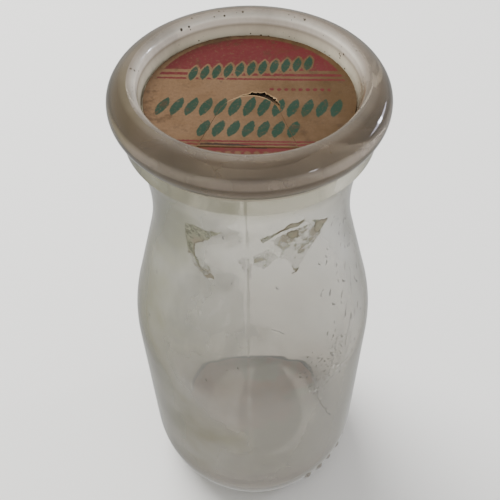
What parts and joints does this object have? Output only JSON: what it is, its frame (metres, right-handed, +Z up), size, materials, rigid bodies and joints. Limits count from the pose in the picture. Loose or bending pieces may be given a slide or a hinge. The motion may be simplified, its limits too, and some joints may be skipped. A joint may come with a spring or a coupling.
{
  "type": "glass milk bottle",
  "caption": "Round half-pint milk bottle of clear pressed glass, with a thick beaded rim and a seated paperboard disc whose pull tab lifts on a crease.",
  "frame": {"origin": "on the bottle's axis, in the plane of the ring that it stands on", "axes": "+Z up along the bottle's axis, +X towards the bottle's right seen from the side the pull tab's crease faces, -Y towards that side"},
  "size_m": [0.0604, 0.0604, 0.136],
  "materials": {
    "bottle_glass": "clear pressed glass, hazed by use",
    "plain_board": "uncoated waxed paperboard",
    "printed_board": "waxed paperboard, printed in red and green",
    "printed_tab": "waxed paperboard, printed in red and green"
  },
  "bodies": {
    "bottle": {"glass_bottle": "bottle_glass"},
    "cap": {"cap_base_ply": "plain_board", "cap_face_ply": "printed_board"},
    "tab": {"pull_tab": "printed_tab"}
  },
  "joints": [
    {"name": "cap_lift", "type": "slide", "parent": "bottle", "child": "cap", "axis": [0, 0, 1], "range_m": [0, 0.05]},
    {"name": "tab_hinge", "type": "hinge", "parent": "cap", "child": "tab", "pos_m": [0, -0.015, 0.1311], "axis": [1, 0, 0], "range_deg": [0, 120]}
  ]
}
